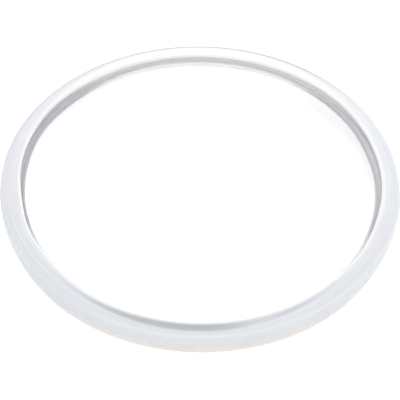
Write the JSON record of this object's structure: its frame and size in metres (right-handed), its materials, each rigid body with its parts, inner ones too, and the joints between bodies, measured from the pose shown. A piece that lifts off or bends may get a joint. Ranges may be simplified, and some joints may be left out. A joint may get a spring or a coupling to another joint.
{
  "type": "pressure cooker sealing ring",
  "caption": "Milky silicone sealing ring for a stovetop pressure cooker lid: flat flange on top, tall outer wall, thin rising lip and a groove that opens towards the bore.",
  "frame": {"origin": "centre of the base plane that the ring lies on", "axes": "+Z along the ring's axis, from the foot to the flange; the ring is the same all round, so X and Y are any two directions in the base plane"},
  "size_m": [0.24, 0.24, 0.016],
  "materials": {
    "silicone": "satin moulded silicone, milky and slightly translucent"
  },
  "bodies": {
    "root": {"sealing_ring": "silicone"}
  },
  "joints": []
}
